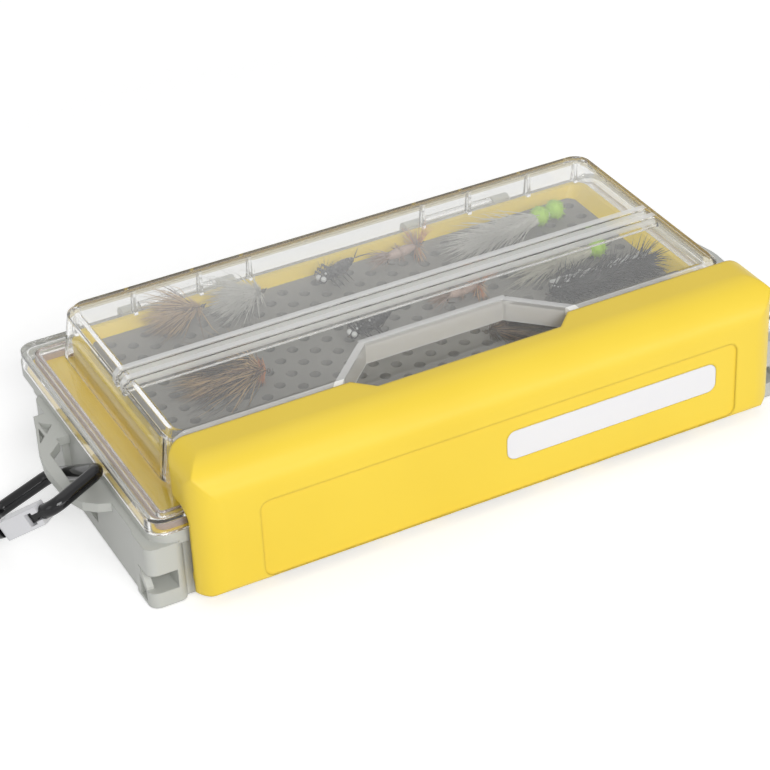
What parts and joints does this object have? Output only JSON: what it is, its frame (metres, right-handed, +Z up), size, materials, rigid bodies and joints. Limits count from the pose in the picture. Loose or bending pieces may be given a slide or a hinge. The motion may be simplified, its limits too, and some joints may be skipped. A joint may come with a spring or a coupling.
{
  "type": "fly fishing box",
  "caption": "Flat hinged fly box with a clear raised lid, full-width front latch, foam-lined tray, lanyard loops and a small carabiner.",
  "frame": {"origin": "on the flat underside, below the middle of the raised lid top", "axes": "+Z up from the surface the box stands on, +X to the right along the long side as seen from the latch, -Y out of the latch's face"},
  "size_m": [0.2492, 0.1162, 0.045],
  "materials": {
    "grey_shell": "satin",
    "yellow_plastic": "satin",
    "clear_plastic": "gloss",
    "seal_rubber": "satin",
    "grey_foam": "matte",
    "steel_pin": "satin",
    "white_label": "satin",
    "black_rod": "gloss",
    "silver_gate": "satin"
  },
  "bodies": {
    "base": {"base_shell": "grey_shell", "rim_gasket": "seal_rubber", "fly_tray": "yellow_plastic", "foam_pad": "grey_foam", "lid_pin_left": "steel_pin", "lid_pin_right": "steel_pin", "latch_pin": "steel_pin"},
    "lid": {"lid": "clear_plastic"},
    "latch": {"latch": "yellow_plastic", "latch_label": "white_label"},
    "carabiner": {"carabiner_body": "black_rod", "gate_rivet": "steel_pin"},
    "gate": {"carabiner_gate": "silver_gate", "gate_spring": "steel_pin"}
  },
  "joints": [
    {"name": "lid_hinge", "type": "hinge", "parent": "base", "child": "lid", "pos_m": [0, 0.055, 0.0266], "axis": [-1, 0, 0], "range_deg": [0, 105]},
    {"name": "latch_hinge", "type": "hinge", "parent": "base", "child": "latch", "pos_m": [0, -0.0525, 0.0063], "axis": [1, 0, 0], "range_deg": [0, 90]},
    {"name": "carabiner_swing", "type": "hinge", "parent": "base", "child": "carabiner", "pos_m": [-0.106, -0.004, 0.0185], "axis": [0, 0, 1], "range_deg": [-20, 0]},
    {"name": "gate_hinge", "type": "hinge", "parent": "carabiner", "child": "gate", "pos_m": [-0.13082, -0.01299, 0.0145], "axis": [-0.3313, 0.4539, 0.8272], "range_deg": [0, 28], "stiffness_Nm_per_rad": 0.04, "springref_deg": -11.46}
  ]
}
